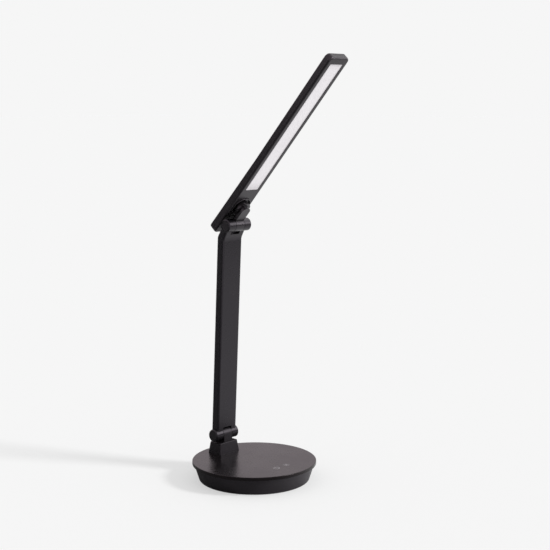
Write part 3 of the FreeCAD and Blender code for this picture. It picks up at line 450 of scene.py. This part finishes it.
def clear_of_edge_shade(side, flange_share, shade_fade_share):
    """How far a point lies clear of the painted shade at two opposite edges of the panel, from 0 at the frame
    to 1.
    """
    from_edge = add_node(opal_tree, "ShaderNodeMath", settings={"operation": "PINGPONG"}, values={1: 0.5},
                         links={0: opal_sides.outputs[side]})
    shade_fade = add_node(opal_tree, "ShaderNodeMapRange", settings={"interpolation_type": "SMOOTHSTEP"},
                    values={"From Min": flange_share, "From Max": flange_share + shade_fade_share},
                    links={"Value": from_edge.outputs["Value"]})
    return shade_fade.outputs["Result"]


opal_clear_of_painted_shade = add_node(opal_tree, "ShaderNodeMath", settings={"operation": "MINIMUM"},
                      links={0: clear_of_edge_shade("X", flange_side_share, shade_fade_side_share),
                             1: clear_of_edge_shade("Z", flange_end_share, shade_fade_end_share)})
# The grey #d8d4d8 at the panel's edges is painted shade from the frame.
opal_colour_with_painted_shade = add_node(opal_tree, "ShaderNodeMix", settings={"data_type": "RGBA"},
                       values={"A": linear("#d8d4d8")},
                       links={"Factor": opal_clear_of_painted_shade.outputs["Value"], "B": opal_tone.outputs["Color"]})
opal_matt = add_node(opal_tree, "ShaderNodeTexNoise", values={"Scale": per_mm(opal_grain), "Detail": 1.0},
                     links={"Vector": opal_place})
opal_bump = add_node(opal_tree, "ShaderNodeBump", values={"Strength": 0.2, "Distance": opal_relief * MM},
                     links={"Height": opal_matt.outputs["Fac"]})
finish_material(opal, {"Roughness": 0.42, "IOR": 1.49},
                {"Base Color": opal_colour_with_painted_shade.outputs["Result"], "Normal": opal_bump.outputs["Normal"]})
dress(opal, "diffuser")

# Studio: a plain pale floor that runs to the horizon, a soft key light from the right, an even surround.
# Reflections alone see four more things that shape the black pieces: a dark flag at the left with a grey
# sheet on the floor, painted shade of the floor round the lamp that fades into the paper, a low dark flag in
# front, and two white cards at the right.


def pictured_rays(tree):
    """Whether a ray comes by a mirror or glass, and whether it comes by these or from the camera."""
    path = add_node(tree, "ShaderNodeLightPath").outputs
    mirrored = add_node(tree, "ShaderNodeMath", settings={"operation": "MAXIMUM"},
                        links={0: path["Is Glossy Ray"], 1: path["Is Transmission Ray"]}).outputs["Value"]
    pictured = add_node(tree, "ShaderNodeMath", settings={"operation": "MAXIMUM"},
                        links={0: path["Is Camera Ray"], 1: mirrored}).outputs["Value"]
    return mirrored, pictured


def studio_sheet(name, corners, faces, material):
    """Adds flat sheets of the studio, which aren't part of the lamp."""
    mesh = bpy.data.meshes.new(name)
    mesh.from_pydata(corners, [], faces)
    mesh.materials.append(material)
    sheet = bpy.data.objects.new(name, mesh)
    bpy.context.scene.collection.objects.link(sheet)
    return sheet


def hide_from_all_but_reflections(sheet):
    """Leaves a sheet of the studio visible in shiny surfaces only, without a shadow."""
    sheet.visible_camera = False
    sheet.visible_diffuse = False
    sheet.visible_shadow = False


# The studio's sizes are in metres.
square = (-1, -1), (1, -1), (1, 1), (-1, 1)
floor_half = 40.0
floor_hex = "#f6f6f6"
paper_lift_share = 0.54
floor_material, floor_tree = blank_material("studio_paper")[:2]
paper = add_node(floor_tree, "ShaderNodeBsdfDiffuse", values={"Color": linear(floor_hex)})
glow = add_node(floor_tree, "ShaderNodeEmission", values={"Color": linear(floor_hex), "Strength": 1.0})
paper_lift = add_node(floor_tree, "ShaderNodeMath", settings={"operation": "MULTIPLY"},
                      values={1: paper_lift_share}, links={0: pictured_rays(floor_tree)[1]})
lifted_paper = add_node(floor_tree, "ShaderNodeMixShader", links={"Fac": paper_lift.outputs["Value"],
                                                                  1: paper.outputs["BSDF"],
                                                                  2: glow.outputs["Emission"]})
floor_tree.links.new(lifted_paper.outputs["Shader"], floor_tree.nodes["Material Output"].inputs["Surface"])
floor_corners = [(x * floor_half, y * floor_half, 0) for x, y in square]
studio_sheet("studio_floor", floor_corners, [(0, 1, 2, 3)], floor_material)

surround_strength = 0.64
mirror_hex = "#f4e9ee"
world = bpy.data.worlds.new("studio_surround")
bpy.context.scene.world = world
world.use_nodes = True
world_tree = world.node_tree
surround = world_tree.nodes["Background"]
surround.inputs["Color"].default_value = linear("#ffffff")
surround.inputs["Strength"].default_value = surround_strength
world_mirrored, world_pictured = pictured_rays(world_tree)
mirror_tone = add_node(world_tree, "ShaderNodeMix", settings={"data_type": "RGBA"},
                       values={"A": linear(floor_hex), "B": linear(mirror_hex)},
                       links={"Factor": world_mirrored})
backdrop = add_node(world_tree, "ShaderNodeBackground", values={"Strength": 1.0},
                    links={"Color": mirror_tone.outputs["Result"]})
seen = add_node(world_tree, "ShaderNodeMixShader", links={"Fac": world_pictured,
                                                          1: surround.outputs["Background"],
                                                          2: backdrop.outputs["Background"]})
world_tree.links.new(seen.outputs["Shader"], world_tree.nodes["World Output"].inputs["Surface"])

flag_front = -0.95, -0.6
flag_back = -0.35, 1.1
flag_height = 0.5
floor_shade_right = 0.06
floor_shade_lift = 0.001
floor_shade_fade = -0.06, 0.045
# The grey sheet on the floor is painted shade of the floor round the lamp, seen in reflections only; it fades
# into the paper.
flag_material, flag_tree, flag_place = blank_material("flag_grey_and_painted_floor_shade")
flag_sides = add_node(flag_tree, "ShaderNodeSeparateXYZ", links={"Vector": flag_place})
flag_and_floor_shade_fade = add_node(flag_tree, "ShaderNodeMapRange", links={"Value": flag_sides.outputs["X"]},
                     values={"From Min": floor_shade_fade[0], "From Max": floor_shade_fade[1]})
flag_and_floor_shade_tone = add_node(flag_tree, "ShaderNodeMix", settings={"data_type": "RGBA"},
                     values={"A": linear("#808080"), "B": linear(floor_hex)},
                     links={"Factor": flag_and_floor_shade_fade.outputs["Result"]})
finish_material(flag_material, {"Roughness": 1.0, "Specular IOR Level": 0.0},
                {"Base Color": flag_and_floor_shade_tone.outputs["Result"]})
flag_corners = [(*flag_front, 0), (*flag_back, 0), (*flag_back, flag_height), (*flag_front, flag_height)]
floor_shade_corners = [(floor_shade_right, flag_back[1]), flag_back, flag_front, (floor_shade_right, flag_front[1])]
flag_corners += [(x, y, floor_shade_lift) for x, y in floor_shade_corners]
flag = studio_sheet("studio_flag", flag_corners, [(0, 1, 2, 3), (4, 5, 6, 7)], flag_material)
hide_from_all_but_reflections(flag)

front_course = 0.735, -0.678
front_distance = 1.9
front_half = 2.0
front_height = 0.35
front_material = blank_material("flag_black_cloth")[0]
finish_material(front_material, {"Base Color": linear("#101010"), "Roughness": 1.0,
                                 "Specular IOR Level": 0.0}, {})
front_middle = Vector((*front_course, 0)) * front_distance
front_across = Vector((-front_course[1], front_course[0], 0)) * front_half
front_feet = [front_middle - front_across, front_middle + front_across]
front_tops = [foot + Vector((0, 0, front_height)) for foot in reversed(front_feet)]
front_flag = studio_sheet("studio_front_flag", front_feet + front_tops, [(0, 1, 2, 3)], front_material)
hide_from_all_but_reflections(front_flag)

card_distance = 1.5


def studio_card(name, course, half, strength):
    """Adds a square white card that faces the lamp from the given direction, for reflections alone."""
    material, tree = blank_material(name + "_silk")[:2]
    glow = add_node(tree, "ShaderNodeEmission", values={"Color": linear("#ffffff"), "Strength": strength})
    tree.links.new(glow.outputs["Emission"], tree.nodes["Material Output"].inputs["Surface"])
    middle = Vector(course) * card_distance
    turn = middle.to_track_quat("Z", "Y")
    corners = [middle + turn @ Vector((x * half, y * half, 0)) for x, y in square]
    hide_from_all_but_reflections(studio_sheet(name, corners, [(0, 1, 2, 3)], material))


studio_card("studio_low_card", course=(0.74, -0.46, 0.42), half=0.3, strength=3.4)
studio_card("studio_high_card", course=(0.73, -0.07, 0.68), half=0.5, strength=1.6)


def aimed(name, data, course):
    """Adds the light or the camera, turned to look along the given direction."""
    item = bpy.data.objects.new(name, data)
    bpy.context.scene.collection.objects.link(item)
    item.rotation_mode = "QUATERNION"
    item.rotation_quaternion = Vector(course).to_track_quat("-Z", "Y")
    return item


key_course = -0.37, 0.755, -0.54
key_strength = 2.1
key_spread = 12.0
key = bpy.data.lights.new("key_softbox", "SUN")
key.energy = key_strength
key.angle = math.radians(key_spread)
aimed("key_softbox", key, key_course)

# Camera: at the photograph's angle, from the lamp's front left and a little above its upper hinge.
# A long lens from about a metre and a half away keeps the upright lines nearly parallel.

camera_place = -1036.9, -991.8, 450.1
camera_course = 0.7276, 0.6719, -0.1382
camera_lens = 79.7
camera_sensor = 36.0
camera_data = bpy.data.cameras.new("photo_camera")
camera_data.lens = camera_lens
camera_data.sensor_width = camera_sensor
camera = aimed("photo_camera", camera_data, camera_course)
camera.location = Vector(camera_place) * MM
bpy.context.scene.camera = camera
bpy.context.scene.view_settings.view_transform = "Standard"
